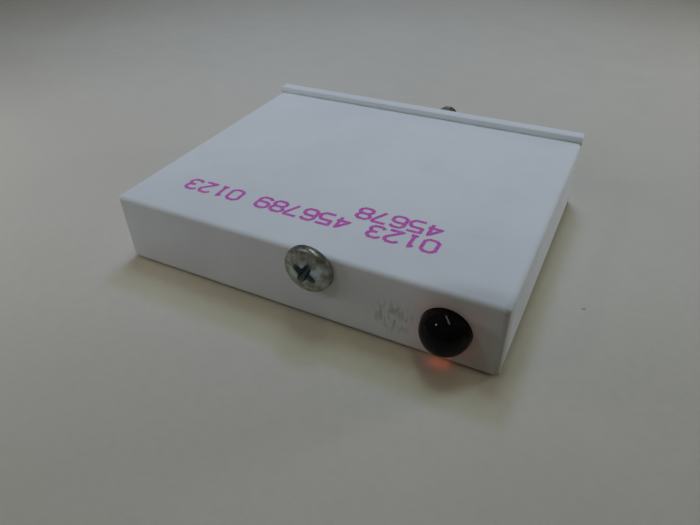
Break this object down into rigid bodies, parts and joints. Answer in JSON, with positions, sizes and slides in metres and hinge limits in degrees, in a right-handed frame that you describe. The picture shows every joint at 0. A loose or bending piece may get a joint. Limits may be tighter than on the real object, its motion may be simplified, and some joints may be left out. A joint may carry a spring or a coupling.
{
  "type": "plug-in solid state relay module",
  "caption": "Slim white plug-in relay module with a proud lip and pins at one end, a captive hold-down screw through its depth and a domed red status lamp.",
  "frame": {"origin": "centre of the seating face at the pin end, at mid thickness", "axes": "+Y out of the seating face along the pins, +Z across the thin direction towards the broad face nearest the screw, +X along the long edge of the seating face towards the lamp"},
  "size_m": [0.0432, 0.0436, 0.0098],
  "materials": {
    "case_white": "fine moulded texture",
    "header_black": "matte",
    "resin": "glossy poured resin",
    "board_laminate": "satin solder mask",
    "pin_tin": "bright tin plate",
    "lens_red": "clear dyed resin, glossy",
    "lead_metal": "tinned",
    "die": "semiconductor chip",
    "package_black": "moulded epoxy",
    "package_white": "moulded epoxy",
    "resistor_tan": "lacquered",
    "diode_black": "moulded epoxy",
    "film_yellow": "boxed film",
    "ceramic": "fired ceramic",
    "solder": "bright solder",
    "screw_zinc": "zinc plate, slightly dulled",
    "clip_steel": "spring steel"
  },
  "bodies": {
    "module": {"case_shell": "case_white", "base_header": "header_black", "epoxy_seal": "resin", "circuit_board": "board_laminate", "field_pin_1": "pin_tin", "field_pin_2": "pin_tin", "logic_pin_3": "pin_tin", "logic_pin_4": "pin_tin", "logic_pin_5": "pin_tin", "led_lens": "lens_red", "led_leads": "lead_metal", "led_die": "die", "optocoupler": "package_white", "optocoupler_leads": "lead_metal", "amplifier_chip": "package_black", "amplifier_leads": "lead_metal", "output_transistor": "package_black", "transistor_leads": "lead_metal", "input_resistor_1": "resistor_tan", "input_resistor_2": "resistor_tan", "pull_up_resistor": "resistor_tan", "lamp_resistor": "resistor_tan", "input_diode": "diode_black", "filter_capacitor": "film_yellow", "bypass_capacitor": "ceramic", "chip_resistors": "package_black", "axial_leads": "lead_metal", "solder_joints": "solder"},
    "clip": {"retaining_clip": "clip_steel"},
    "screw": {"captive_screw": "screw_zinc"}
  },
  "joints": [
    {"name": "screw_slide", "type": "slide", "parent": "module", "child": "clip", "axis": [0, -1, 0], "range_m": [0, 0.0046]},
    {"name": "screw_spin", "type": "hinge", "parent": "clip", "child": "screw", "pos_m": [0.0027, 0, 0.0023], "axis": [0, -1, 0], "continuous": true}
  ]
}
